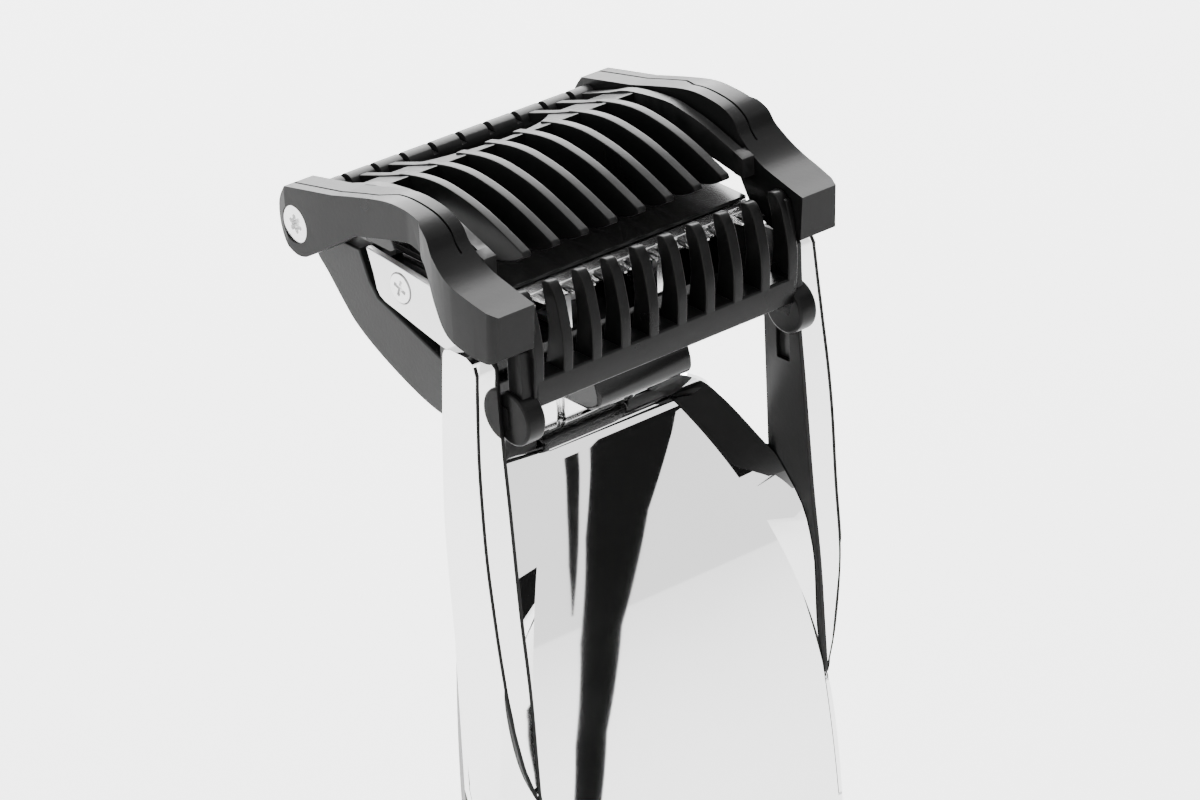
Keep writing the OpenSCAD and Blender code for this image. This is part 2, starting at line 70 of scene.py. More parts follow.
ARM_IN = 19.9
BAR_Y = (-7.65, -4.35)

BLADE_SCREW = (8.5, 5)
PLATE_SCREW = (9, 168.2)
BLADE_PITCH = 1.4

RIB_PITCH = 3.8
RIB_HALF = 0.55
TOOTH_HALF = 0.65
COMB_SCREW = (22.7, 172)
BOSS = (-9.2, 159.8)
PIN_Z = (158.8, 161)

SIGNS = (-1, 1)
SIDES = (("left", -1), ("right", 1))
print("shared sizes: the housing ends", TOP, "mm up and the comb's ribs are", RIB_PITCH, "mm apart")

# %% [markdown]
# ## Helpers for drawing a piece
# A moulded part is mostly a flat outline with thickness. It could be cut from a
# block, but it is quicker to draw its outline one vertex at a time with the extrude
# operator, fill it, and extrude the face into a slab, so that is what `slab` does.


# %% Place and select
def spot(axis, u, v, depth):
    """A point in metres on the drawing plane that lies across an axis."""
    places = {"X": (depth, u, v), "Y": (u, depth, v), "Z": (u, v, depth)}
    return Vector(places[axis]) * MM


def spot_key(point):
    """A place to a hundredth of a millimetre, for finding a point again."""
    return tuple(round(c / MM, 2) for c in point)


def only(piece):
    """Make one piece the active and only selected object."""
    bpy.ops.object.select_all(action="DESELECT")
    piece.select_set(True)
    bpy.context.view_layer.objects.active = piece


def settle(piece):
    """Put the place of a piece into its mesh, so its object sits at the origin."""
    only(piece)
    bpy.ops.object.transform_apply(location=True, rotation=True, scale=True)
    return piece


print("places go through spot(), in millimetres")


# %% [markdown]
# An outline is a ring of edges. `draw_ring` draws it, `slab` gives it thickness, and
# `block` and `rod` are the rectangle and the round bar, the two commonest outlines.


# %% Draw
def start_piece(name):
    """A new mesh object with no faces yet, open in edit mode."""
    bpy.ops.object.select_all(action="DESELECT")
    bpy.ops.mesh.primitive_plane_add(size=0.1 * MM, location=(0, 0, 0))
    piece = bpy.context.object
    piece.name = name
    piece.data.name = name
    bpy.ops.object.mode_set(mode="EDIT")
    bpy.ops.mesh.delete(type="VERT")
    return piece


def draw_ring(points):
    """In edit mode: a new line of edges through these points."""
    bpy.ops.mesh.select_all(action="DESELECT")
    bpy.ops.mesh.primitive_plane_add(size=0.1 * MM, location=points[0])
    bpy.ops.mesh.merge(type="CENTER")
    for here, there in zip(points, points[1:]):
        bpy.ops.mesh.extrude_vertices_move(TRANSFORM_OT_translate={"value": there - here})


def face_out():
    """In edit mode: weld what touches and turn every face outwards."""
    bpy.ops.mesh.select_all(action="SELECT")
    bpy.ops.mesh.remove_doubles(threshold=0.004 * MM)
    bpy.ops.mesh.normals_make_consistent(inside=False)


def slab(name, points, axis, start, end):
    """Draw an outline in mm across an axis and extrude it from start to end."""
    piece = start_piece(name)
    draw_ring([spot(axis, u, v, start) for u, v in points])
    bpy.ops.mesh.select_all(action="SELECT")
    bpy.ops.mesh.edge_face_add()
    thickness = spot(axis, 0, 0, end - start)
    bpy.ops.mesh.extrude_region_move(TRANSFORM_OT_translate={"value": thickness})
    face_out()
    bpy.ops.object.mode_set(mode="OBJECT")
    return settle(piece)


def block(name, u, v, axis, start, end):
    """A slab with a rectangular outline: u and v are (low, high) pairs."""
    corners = [(u[0], v[0]), (u[1], v[0]), (u[1], v[1]), (u[0], v[1])]
    return slab(name, corners, axis, start, end)


def rod(name, axis, radius, centre, start, end, sides=48):
    """A round bar along an axis, in mm, centred on a point of the drawing plane."""
    quarter = math.pi / 2
    turn = {"X": (0, quarter, 0), "Y": (quarter, 0, 0), "Z": (0, 0, 0)}[axis]
    bpy.ops.object.select_all(action="DESELECT")
    bpy.ops.mesh.primitive_cylinder_add(
        vertices=sides,
        radius=radius * MM,
        depth=abs(end - start) * MM,
        location=spot(axis, *centre, (start + end) / 2),
        rotation=turn,
    )
    piece = bpy.context.object
    piece.name = name
    return settle(piece)


print("slab, block and rod draw the outlines")


# %% [markdown]
# Moulds and grinders leave small radii, and light shows them. `soften` rounds the
# sharp edges with a bevel and then keeps the flat faces flat with weighted normals.


# %% Carve, join and soften
def carve(piece, tool, how="DIFFERENCE"):
    """Cut, keep or add the tool's shape, and throw the tool away."""
    only(piece)
    step = piece.modifiers.new("carve", "BOOLEAN")
    step.operation = how
    step.object = tool
    step.solver = "EXACT"
    bpy.ops.object.modifier_apply(modifier=step.name)
    bpy.data.objects.remove(tool, do_unlink=True)
    return piece


def keep(piece, tool):
    """Keep only what lies inside the tool's shape."""
    return carve(piece, tool, "INTERSECT")


def add(piece, tool):
    """Weld the tool's shape on."""
    return carve(piece, tool, "UNION")


def merge(name, pieces):
    """Join pieces into one object."""
    only(pieces[0])
    for piece in pieces[1:]:
        piece.select_set(True)
    bpy.ops.object.join()
    pieces[0].name = name
    return pieces[0]


def soften(piece, width=0.2, segments=2, angle=35, smooth=40):
    """Round the sharp edges a little and shade the piece like a moulding."""
    only(piece)
    if width:
        rounding = piece.modifiers.new("rounding", "BEVEL")
        rounding.width = width * MM
        rounding.segments = segments
        rounding.limit_method = "ANGLE"
        rounding.angle_limit = math.radians(angle)
        rounding.miter_outer = "MITER_ARC"
        bpy.ops.object.modifier_apply(modifier=rounding.name)
    bpy.ops.object.shade_smooth_by_angle(angle=math.radians(smooth))
    flat = piece.modifiers.new("flat faces", "WEIGHTED_NORMAL")
    flat.keep_sharp = True
    bpy.ops.object.modifier_apply(modifier=flat.name)
    return piece


def copy_of(source, name, shift=0.0):
    """A copy with its own mesh, moved across the handle by a shift in mm."""
    piece = source.copy()
    piece.data = source.data.copy()
    piece.name = name
    bpy.context.scene.collection.objects.link(piece)
    piece.location.x = shift * MM
    return settle(piece) if shift else piece


def row_of(source, count, pitch):
    """The source and its copies, side by side across the handle."""
    return [source] + [copy_of(source, source.name, pitch * i) for i in range(1, count)]


print("carve, merge and soften finish the shapes")


# %% [markdown]
# Outlines with long sweeps are drawn through a few points with a smooth line, as a
# pattern maker would bend a spline batten round pins.


# %% Smooth lines
def curve_through(points, steps=4):
    """A smooth line through the points: each pair gets extra points between."""
    line = []
    last = len(points) - 1
    for i in range(last):
        a, b, c, d = (Vector(points[min(max(k, 0), last)]) for k in range(i - 1, i + 3))
        for k in range(steps):
            t = k / steps
            straight = 2 * b + (c - a) * t
            bend = (2 * a - 5 * b + 4 * c - d) * t**2
            twist = (3 * b - a - 3 * c + d) * t**3
            line.append(tuple(0.5 * (straight + bend + twist)))
    return line + [tuple(points[-1])]


def along(table, z):
    """Read a line of (z, value) points at a height."""
    if z <= table[0][0]:
        return table[0][1]
    for (z0, v0), (z1, v1) in zip(table, table[1:]):
        if z <= z1:
            return v0 + (v1 - v0) * (z - z0) / (z1 - z0)
    return table[-1][1]


def arc(z, z0, radius):
    """How far an arc that starts upright at z0 has turned in at z."""
    return 0 if z <= z0 else radius - math.sqrt(radius**2 - (z - z0) ** 2)


def ease(t):
    """0 to 1 with soft ends."""
    return (1 - math.cos(math.pi * max(0, min(1, t)))) / 2


def sided(points, sign):
    """An (x, y) or (x, z) outline on the left or the right of the handle."""
    return [(x * sign, v) for x, v in points]


print("a smooth line has", len(curve_through([(0, 0), (1, 1), (2, 0)])), "points for three pins")

# %% [markdown]
# ## The handle
# The handle's housing is two shells, moulded and then plated like a mirror, and
# below the seam the same form carries on as a dark satin grip. A mirror shows every
# kink, so the form is lofted from level rings, 1.6 mm apart where it curves most: each
# ring is drawn and the stack is bridged. Its width, front and back follow long arcs.

# %% The outline at each height
CREST = curve_through(
    [
        (106, -10.95), (114, -10.6), (122, -10.4), (128.5, -10.35), (131.3, -9.9), (134.7, -8.8),
        (137.5, -6.7), (140.7, -3.6), (143.5, -2.0), (147.8, -0.6), (150.4, 0.2),
    ],
    5,
)


def half_width(z):
    """From the middle of the handle to its side."""
    return min(23, 24 - arc(z, 123.2, 39.5)) - 3 * ease((112 - z) / 80)


def front(z):
    """The flat front facet, with a slight hollow down the grip."""
    low = 1.2 * math.sin(math.pi * (90 - z) / 90) if z < 90 else 0
    return -13.5 + arc(z, 90, 146.8) - low


def facet(z):
    """Half the width of the front facet."""
    return 20.5 - arc(z, 112, 69.9) - 3 * ease((112 - z) / 80) - 0.035 * max(0, z - 112)


def rear(z):
    """The back of the handle."""
    return 17.5 - arc(z, 100, 214.7) - 1.5 * ease((100 - z) / 100)


def ring_at(z, inset):
    """The handle's outline at a height, drawn in by an inset, as (x, y) pairs."""
    blend = ease((z - 104) / 20)
    back = rear(z) - inset
    side = half_width(z) - inset
    crest_x = (facet(z) + 1.3) * (1 - blend) + min(20, half_width(z) - 0.5) * blend - inset
    crest_y = (front(z) + 1.7 if z < 106 else along(CREST, z)) + inset
    brow = (front(z) + 3.4) * (1 - blend) + max(-5, along(CREST, z) + 0.8) * blend
    brow = max(crest_y + 0.5, brow)
    flank = max(brow + 0.9, -2)
    keel = 0.38 * side
    middle = ((side + keel + 2.2) / 2, -2 + 0.5 * (back - 0.8))
    tail = curve_through([(side, flank), middle, (keel + 1.4, back - 1.5), (keel - 2.4, back)], 4)
    half = [(facet(z) - 0.6 * inset, front(z) + inset), (crest_x, crest_y), (side, brow)] + tail
    return half + [(-x, y) for x, y in reversed(half)]


print("the housing is", round(2 * half_width(120), 1), "mm wide between the arms")


# %% [markdown]
# The facet, crest and side meet in crisp lines on the real housing, so those lines
# are marked sharp while everything between them is shaded smooth.


# %% Loft the form
def pick_level(piece, z, ends_only=False):
    """In edit mode: select the vertices at one height, or only the loose ends there."""
    bpy.ops.mesh.select_all(action="DESELECT")
    bpy.ops.object.mode_set(mode="OBJECT")
    used = {}
    for edge in piece.data.edges:
        for v in edge.vertices:
            used[v] = used.get(v, 0) + 1
    for vertex in piece.data.vertices:
        level = abs(vertex.co.z / MM - z) < 0.01
        vertex.select = level and (not ends_only or used.get(vertex.index, 0) == 1)
    bpy.ops.object.mode_set(mode="EDIT")


def mark_crisp(piece, crisp):
    """Keep the upright lines through these places sharp."""
    points = piece.data.vertices
    for edge in piece.data.edges:
        a, b = (points[v].co for v in edge.vertices)
        upright = abs(a.z - b.z) > 0.05 * MM
        edge.use_edge_sharp = upright and spot_key(a) in crisp and spot_key(b) in crisp


def handle_form(name, inset, heights, roll=0.0):
    """A solid of the handle's form through these heights, its top edge rolled over."""
    piece = start_piece(name)
    crisp = set()
    for z in heights:
        down = max(0, z - (heights[-1] - roll))
        turned = roll - math.sqrt(max(0, roll**2 - down**2)) if roll else 0
        ring = [Vector((x, y, z)) * MM for x, y in ring_at(z, inset + turned)]
        draw_ring(ring)
        crisp |= {spot_key(p) for p in ring[:3] + ring[-3:]}
        pick_level(piece, z, ends_only=True)
        bpy.ops.mesh.edge_face_add()
    bpy.ops.mesh.select_all(action="SELECT")
    bpy.ops.mesh.bridge_edge_loops()
    for z in (heights[0], heights[-1]):
        pick_level(piece, z)
        bpy.ops.mesh.edge_face_add()
    face_out()
    bpy.ops.mesh.select_all(action="DESELECT")
    bpy.ops.object.mode_set(mode="OBJECT")
    settle(piece)
    mark_crisp(piece, crisp)
    return piece


low_levels = [0, 1, 4, 12, 20, 30, 40, 50, 60, 70, 80]
high_levels = [84 + 1.6 * i for i in range(41)]
roll_levels = [TOP - ROLL * (1 - math.sin(math.radians(a))) for a in range(0, 91, 18)]
outer_levels = low_levels + [z for z in high_levels if z < TOP - ROLL - 0.5] + roll_levels
inner_levels = [-3, 12, 30, 50, 70, 90] + [94 + 4 * i for i in range(14)] + [TOP - WALL]
outer = soften(handle_form("handle form", 0, outer_levels, ROLL), 0, smooth=30)
inner = handle_form("handle hollow", WALL, inner_levels)
print("form:", len(outer.data.polygons), "faces; hollow:", len(inner.data.polygons), "faces")

# %% [markdown]
# The real shells are about 1.8 mm thick, open at the top for the motor's shaft, and
# let in for the arms. Cutting them from one hollow form keeps every joint flush.

# %% Shell and arm pockets
ARM_POCKET = [
    (-14.6, 99.5), (-8.5, 104.5), (-4, 110.5), (-2.8, 114.9), (-2.8, 175), (-8.3, 175), (-8.3, 165.6),
    (-8.6, 157), (-9.1, 150), (-9.9, 138), (-10.6, 131), (-10.9, 127), (-11.2, 121), (-12.3, 116.8),
    (-14.6, 111.3),
]
cap_hollow = keep(copy_of(inner, "cap hollow"), block("above the floor", (-40, 40), (2, 160), "Y", -40, 40))
shell = carve(copy_of(outer, "shell"), inner)
for sign in SIGNS:
    carve(shell, slab("arm pocket", ARM_POCKET, "X", (ARM_IN - 0.1) * sign, 30 * sign))
carve(shell, rod("drive hole", "Z", 5, (0, DRIVE_Y), 140, 160))
print("shell:", len(shell.data.polygons), "faces")

# %% [markdown]
# The seam between plating and grip sweeps up from the front to the back. Front and
# rear shells meet behind the arms with a hairline gap, as moulded halves do.

# %% Housing and grip shells
SEAM = curve_through(
    [(-30, 96.2), (-14, 99.6), (-8.5, 104), (-4, 110), (-1.3, 116.6), (2, 126.6), (8, 133.6), (30, 138.4)], 5
)
BUILT = []


def zone(above, y0, y1, z0, z1):
    """A block on one side of the seam, between two depths."""
    side = SEAM + ([(30, 170), (-30, 170)] if above else [(30, -5), (-30, -5)])
    return keep(slab("zone", side, "X", -40, 40), block("keep", (-40, 40), (z0, z1), "Y", y0, y1))


def shell_part(name, above, y0, y1, z0, z1):
    """One of the four shells."""
    part = keep(copy_of(shell, name), zone(above, y0, y1, z0, z1))
    print(name, len(part.data.polygons), "faces")
    return part


FRONT = (-40, SPLIT_Y - PARTING)
REAR = (SPLIT_Y + PARTING, 40)
housing_front = shell_part("housing front shell", True, *FRONT, 90, 160)
housing_rear = shell_part("housing rear shell", True, *REAR, 90, 160)
front_grip = shell_part("front grip", False, *FRONT, CAP_TOP + 0.1, 145)
rear_grip = shell_part("rear grip", False, *REAR, CAP_TOP + 0.1, 145)
bpy.data.objects.remove(shell, do_unlink=True)

# %% [markdown]
# The grip needs a window for the zoom wheel, room for its pinion and the lift bars, a
# hole for the power button, and sunk seats for the two screws at the back.

# %% Openings in the grip and the base cap
carve(front_grip, block("wheel window", (-3.8, 3.8), (WHEEL_Z - 8.6, WHEEL_Z + 8.6), "Y", -40, -8))
carve(front_grip, block("pinion room", (3, 8.2), (WHEEL_Z - 5.4, WHEEL_Z + 5.4), "Y", -12.8, -8))
for sign in SIGNS:
    carve(front_grip, block("bar room", (19 * sign, 21.25 * sign), (93.8, 118), "Y", *BAR_Y))
carve(front_grip, rod("button hole", "Y", 5.2, (0, BUTTON_Z), -30, -8))
for z in SCREW_Z:
    carve(rear_grip, rod("screw hole", "Y", 1, (0, z), 10, 40))
    carve(rear_grip, rod("screw seat", "Y", 2.1, (0, z), rear(z) - 1.2, 40))

base_cap = carve(copy_of(outer, "base cap"), cap_hollow)
keep(base_cap, block("keep", (-40, 40), (-1, CAP_TOP), "Y", -40, 40))
add(base_cap, rod("socket wall", "Z", 5, (0, SOCKET_Y), 1, 11))
carve(base_cap, rod("socket bore", "Z", 2.75, (0, SOCKET_Y), -1, 9))
for part, slot_name, node in (
    (housing_front, "chrome_housing", "housing_front"),
    (housing_rear, "chrome_housing", "housing_rear"),
    (front_grip, "grip_plastic", "grip_front"),
    (rear_grip, "grip_plastic", "grip_rear"),
    (base_cap, "grip_plastic", "base_cap"),
):
    BUILT.append((soften(part, 0, smooth=30), "handle", slot_name, [node]))
print("handle shells:", len(BUILT))

# %% [markdown]
# ## The fork arms
# Each arm is a plated blade that leans a little and sweeps into the handle below. Its
# inner face is a dark guide rail, and the outer skin is a separate strip, so a fine
# dark joint runs up its outer front edge. The outline is drawn from the side, then
# cut with the gentle bulge that shows from the front, and its foot is chamfered.

# %% Outlines of an arm
UPPER_FACE = [
    (23.6, 131.5), (23.8, 138), (24, 145), (23.9, 151), (23.6, 157), (23.3, 161), (23, 165), (22.7, 167.5),
]
BULGE = curve_through([(22.98, 114), (23.15, 120), (23.4, 126)] + UPPER_FACE, 4)
JOINT_LINE = curve_through([(20.4, 115.4), (21.7, 119), (22.6, 123), (23.35, 128)] + UPPER_FACE, 4)
ARM_FRONT = [
    (-8.2, 165.4), (-8.5, 157), (-9, 150), (-9.8, 138), (-10.5, 131), (-10.8, 127), (-11.05, 121),
    (-11.3, 115.5),
]
ARM_BACK = [(-3, 115.5), (-2.9, 119), (-2.9, 166.2), (-3.1, 166.7), (-4.0, 167), (-6.6, 167), (-7.6, 166.6)]
ARM_OUTLINE = curve_through(ARM_FRONT, 4) + ARM_BACK
ARM_FOOT = [
    (-14.5, 99.9), (-8.5, 104.6), (-4, 110.6), (-2.9, 114.9), (-2.9, 115.6), (-11.4, 115.6),
    (-12.2, 115.6), (-14.5, 111.2),
]


def arm_blank(name, sign, outer_x=25.0):
    """The arm's full form on one side, its lower front corner chamfered."""
    blank = slab(name, ARM_OUTLINE, "X", ARM_IN * sign, outer_x * sign)
    face = [(15, 114)] + BULGE + [(15, 167.5)]
    keep(blank, slab("bulge", sided(face, sign), "Y", -20, 1))
    top = Vector((23.6 * sign, -10.6, 131.5))
    inner_foot = Vector((20.4 * sign, -11.45, 115.4))
    outer_foot = Vector((23.05 * sign, -7.8, 115.4))
    outward = (inner_foot - top).cross(outer_foot - top).normalized()
    if outward.x * sign < 0:
        outward = -outward
    bpy.ops.object.mode_set(mode="EDIT")
    bpy.ops.mesh.select_all(action="SELECT")
    bpy.ops.mesh.bisect(plane_co=top * MM, plane_no=outward, use_fill=True, clear_outer=True)
    bpy.ops.object.mode_set(mode="OBJECT")
    return blank


def strip_outline(deep, shallow, sign):
    """A thin band that follows the arm's outer front edge."""
    inside = [(x - deep, z) for x, z in JOINT_LINE]
    outside = [(x - shallow, z) for x, z in reversed(JOINT_LINE)]
    return sided(inside + outside, sign)


print("arm outline:", len(ARM_OUTLINE), "points")


# %% [markdown]
# The cover gets a room for the rail, a slot for the lift bar behind it, and the
# groove of the joint. The rail has a short guide slot that is open at its top.


# %% Arms and rails
def arm_cover(side_name, sign):
    """The plated part of an arm, with its foot in the handle's form."""
    arm = arm_blank(f"{side_name} arm", sign)
    foot = keep(copy_of(outer, "arm foot"), slab("foot side", ARM_FOOT, "X", ARM_IN * sign, 25 * sign))
    add(arm, foot)
    carve(arm, block("rail room", (-20, 0), (115.6, 170), "X", 19 * sign, 20.4 * sign))
    carve(arm, block("bar slot", BAR_Y, (90, 175), "X", 19 * sign, 21.2 * sign))
    carve(arm, slab("joint groove", strip_outline(0.5, 0.08, sign), "Y", -20, -7.7))
    return soften(arm, 0.12, 2, angle=30, smooth=30)


def arm_rail(side_name, sign):
    """The dark rail and the dark strip in the joint."""
    rail = arm_blank(f"{side_name} arm rail", sign, outer_x=20.35)
    keep(rail, block("rail ends", (-30, -3), (112, 166.6), "X", 19 * sign, 21 * sign))
    carve(rail, block("guide slot", (-7, -5), (151.8, 168), "X", 18 * sign, 22 * sign))
    soften(rail, 0.08, 2)
    line = slab("joint strip", strip_outline(0.48, 0.1, sign), "Y", -20, -7.75)
    sunk = [(y + 0.12 if y < -8 else y, z) for y, z in ARM_OUTLINE]
    keep(line, slab("arm inside", sunk, "X", 15 * sign, 25 * sign))
    return merge(f"{side_name} arm rail", [rail, line])


for side_name, sign in SIDES:
    BUILT.append((arm_cover(side_name, sign), "handle", "chrome_housing", [f"arm_cover_{side_name}"]))
    BUILT.append((arm_rail(side_name, sign), "handle", "comb_plastic", [f"arm_rail_{side_name}"]))
bpy.data.objects.remove(outer, do_unlink=True)
print("pieces so far:", len(BUILT))

# %% [markdown]
# ## Neck and head
# The neck is a black block standing in a plated collar. The head is a dark shell that
# curves under the blades, with a satin silver plate screwed to each end, a smooth
# black cover on top and the two ground-steel blades looking out of its front.

# %% Neck and collar
neck_side = curve_through([(-5.2, 154.7), (-6.9, 155.6), (-7.1, 157), (-6.4, 159), (-5.2, 161.3)], 3)
neck_side += [(15, 161.3), (15, 156.6), (1.6, 154.6)]
neck = slab("neck block", neck_side, "X", -6.4, 6.4)
carve(neck, rod("shaft hole", "Z", SHAFT_ROOM, (0, DRIVE_Y), 150, 165))
soften(neck, 0.4, 3)
BUILT.append((neck, "handle", "gloss_black", ["neck"]))
collar = block("collar", (-9.4, 9.4), (1.4, 12), "Z", TOP, 154.5)
for sign in SIGNS:
    carve(collar, block("slit", (4.2 * sign, 5 * sign), (0, 2.6), "Z", 149, 156))
carve(collar, rod("shaft hole", "Z", SHAFT_ROOM, (0, DRIVE_Y), 145, 160))
soften(collar, 0.35, 3)
BUILT.append((collar, "handle", "chrome_housing", ["neck_collar"]))
print("neck:", len(neck.data.polygons), "faces; collar:", len(collar.data.polygons), "faces")

# %% [markdown]
# The head shell is a thin moulding, so its outline is drawn twice, outside and inside,
# and the second is cut out of the first between the two end walls.

# %% Head shell and cover
shell_side = curve_through(
    [
        (25.2, 169.6), (25.0, 166.8), (23.2, 164.9), (20.6, 162.1), (18.6, 160.3), (14.9, 158.2),
        (9.9, 156.1), (5.8, 154.9), (1.5, 154.4),
    ],
    4,
)
shell_side += [(-3.4, 156.8), (-4.2, 161.3), (4, 161.3), (14.6, 164.9), (15.9, 166.4), (17.3, 169.6)]
shell_room = [
    (23.4, 171), (23.4, 167.4), (18, 161.6), (14, 159.9), (9, 157.8), (5, 156.7), (1, 156.2),
    (-2, 157.6), (-2.6, 161.4), (4, 162), (14.6, 166), (19, 171),
]
head = slab("head shell", shell_side, "X", -17.8, 17.8)
carve(head, slab("hollow", shell_room, "X", -15.4, 15.4))
carve(head, block("neck room", (-8, 15.2), (150, 162), "X", -6.6, 6.6))
soften(head, 0.45, 3, angle=40)
BUILT.append((head, "handle", "grip_plastic", ["head_rear_shell"]))

cover_side = [(-4.3, 171.05), (-4.3, 171.4), (17.2, 171.8), (17.2, 170.4), (13, 170.4), (12, 171)]
cover = slab("top cover", cover_side, "X", -16.9, 16.9)
for sign in SIGNS:
    carve(cover, rod("screw room", "Z", 0.8, (BLADE_SCREW[0] * sign, BLADE_SCREW[1]), 169, 171.1))
soften(cover, 0.12, 2)
BUILT.append((cover, "handle", "gloss_black", ["head_top_cover"]))
print("head shell:", len(head.data.polygons), "faces")

# %% [markdown]
# The end plates are stamped from sheet and held by one cross-slotted screw each. The
# cross is cut as two short slots at right angles, a little turned, as a hand leaves it.

# %% End plates and their screws
PLATE = curve_through(
    [(14.6, 171.1), (13.6, 168.4), (12.7, 166.1), (9.5, 165.2), (2.4, 163.7), (-3.2, 163)], 3
)
PLATE += [(-3.0, 169.2), (-2.8, 169.6)]
CROSS = ((-0.95, -0.2), (0.95, -0.2), (0.95, 0.2), (-0.95, 0.2))
CROSS_TURN = 0.35


def cross_stroke(turn):
    """One stroke of a plate screw's cross, turned about the screw's centre."""
    y, z = PLATE_SCREW
    c, s = math.cos(turn), math.sin(turn)
    return [(y + a * c - b * s, z + a * s + b * c) for a, b in CROSS]


for side_name, sign in SIDES:
    plate = slab(f"{side_name} end plate", PLATE, "X", 18.1 * sign, 18.9 * sign)
    carve(plate, rod("screw hole", "X", 1.1, PLATE_SCREW, 17 * sign, 20 * sign))
    carve(plate, rod("screw seat", "X", 1.72, PLATE_SCREW, 18.5 * sign, 20 * sign))
    soften(plate, 0.15, 2)
    BUILT.append((plate, "handle", "silver_plate", [f"head_side_plate_{side_name}"]))
screws = []
for sign in SIGNS:
    screw = rod("plate screw", "X", 1.62, PLATE_SCREW, 18.5 * sign, 19 * sign)
    add(screw, rod("shank", "X", 0.65, PLATE_SCREW, 14.6 * sign, 18.7 * sign))
    for turn in (CROSS_TURN, CROSS_TURN + math.pi / 2):
        carve(screw, slab("cross slot", cross_stroke(turn), "X", 18.7 * sign, 20 * sign))
    screws.append(soften(screw, 0.06, 2))
BUILT.append((merge("plate screws", screws), "handle", "steel_hardware", ["side_plate_screws"]))
print("pieces so far:", len(BUILT))


# %% [markdown]
# A clipper's blades are ground steel combs that slide on each other. One tooth is a
# thin wedge with its tip ground away, so it is made once and copied along the edge.


# %% Blades
def blade_tooth(name, x, tip, root, z_tip, z_root, thick):
    """One ground tooth: a thin wedge that narrows to its tip."""
    plan = [(x - 0.42, root), (x - 0.17, tip), (x + 0.17, tip), (x + 0.42, root)]
    tooth = slab(name, plan, "Z", z_tip - thick, z_root)
    over = [(tip - 1, z_tip), (tip, z_tip), (root, z_root), (root, z_root + 1), (tip - 1, z_root + 1)]
    return carve(tooth, slab("bevel", over, "X", x - 1, x + 1))


def toothed_row(name, half, tip, root, z_tip, z_root, thick):
    """A row of teeth as wide as twice a half width, modelled once and copied."""
    count = int(2 * half / BLADE_PITCH)
    first = blade_tooth(name, -(count - 1) / 2 * BLADE_PITCH, tip, root, z_tip, z_root, thick)
    return merge(name, row_of(first, count, BLADE_PITCH))


blade_side = [(-5.9, 170.3), (-5.9, 170.7), (-4.8, 170.9), (11, 170.9), (11, 170.3)]
blade = slab("fixed blade", blade_side, "X", -16.8, 16.8)
for sign in SIGNS:
    carve(blade, rod("screw hole", "Z", 0.8, (BLADE_SCREW[0] * sign, BLADE_SCREW[1]), 165, 175))
soften(blade, 0.08, 2)
fixed_teeth = toothed_row("fixed teeth", 16.8, -7.9, -5.7, 170.47, 170.65, 0.2)
blade = merge("fixed blade", [blade, fixed_teeth])
BUILT.append((blade, "handle", "blade_steel", ["fixed_blade"]))
cutter_side = [(-5.4, 169.65), (-5.4, 170.2), (2.6, 170.2), (2.6, 169.65)]
cutter = slab("moving blade", cutter_side, "X", -13, 13)
soften(cutter, 0.08, 2)
moving_teeth = toothed_row("moving teeth", 13, -7.2, -5.2, 169.9, 170.2, 0.2)
cutter = merge("moving blade", [cutter, moving_teeth])
BUILT.append((cutter, "cutter", "blade_steel", ["moving_blade"]))
print("blades:", len(blade.data.polygons), "and", len(cutter.data.polygons), "faces")

# %% [markdown]
# ## The comb
# The comb is moulded in satin black. Its thin ribs lie over the blade, each ending in
# a free tip, two side frames curl round from the rear bar to the front, and ten bowed
# teeth stand in front of the blade. One rib and one tooth are drawn and copied.

# %% Ribs
RIB_X = [(i - 3.5) * RIB_PITCH for i in range(8)]
rib_top = curve_through(
    [
        (15, 177.6), (14, 177.9), (11, 178.5), (8, 178.7), (5, 178.4), (2, 177.8), (-1.2, 176.8),
        (-5.3, 175.2),
    ],
    3,
)
rib_low = curve_through([(-5.5, 174.7), (-3.4, 173.6), (0, 172.9), (5, 173), (10, 173.6), (15, 174.4)], 3)
rib = slab("rib", rib_top + rib_low, "X", RIB_X[0] - RIB_HALF, RIB_X[0] + RIB_HALF)
soften(rib, 0.16, 2)
ribs = row_of(rib, len(RIB_X), RIB_PITCH)
print("ribs:", len(ribs))

# %% [markdown]
# A thin web ties the ribs together behind the blade. Its rear edge is cut to an arc,
# and only the two outer ribs of each side carry on behind it to the rear bar.

# %% Web, rails and the ribs behind the web
behind_side = [(13, 177.6), (14, 177.9), (17.4, 176.7), (21.9, 175.3), (21.9, 174.3), (13, 174)]
for x in RIB_X[:2] + RIB_X[-2:]:
    behind = slab("rib behind", behind_side, "X", x - RIB_HALF, x + RIB_HALF)
    ribs.append(soften(behind, 0.16, 2))
web_side = [(13, 178), (14.2, 177.6), (18.4, 176.2), (18.4, 174.8), (13, 175.4)]
web = slab("web", web_side, "X", -17.1, 17.1)
carve(web, rod("web edge", "Z", 12, (0, 26.5), 170, 180, sides=96))
ribs.append(soften(web, 0.2, 2))
rail_side = curve_through(
    [
        (21.9, 175.2), (17.4, 176.7), (14, 177.9), (8, 178.6), (5, 178.3), (2, 177.7), (-1.2, 176.7),
        (-4.4, 175.6),
    ],
    3,
)
rail_side += [(-4.4, 173.4), (2, 174.6), (13, 174.8), (21.9, 174.2)]
foot_side = [(-4.4, 175.6), (-3, 176.1), (-3, 173.6), (-4.4, 173.4)]
ledge_side = [(14, 177), (2, 176.6), (-3, 175.2), (-3, 174.2), (2, 175.6), (14, 176)]
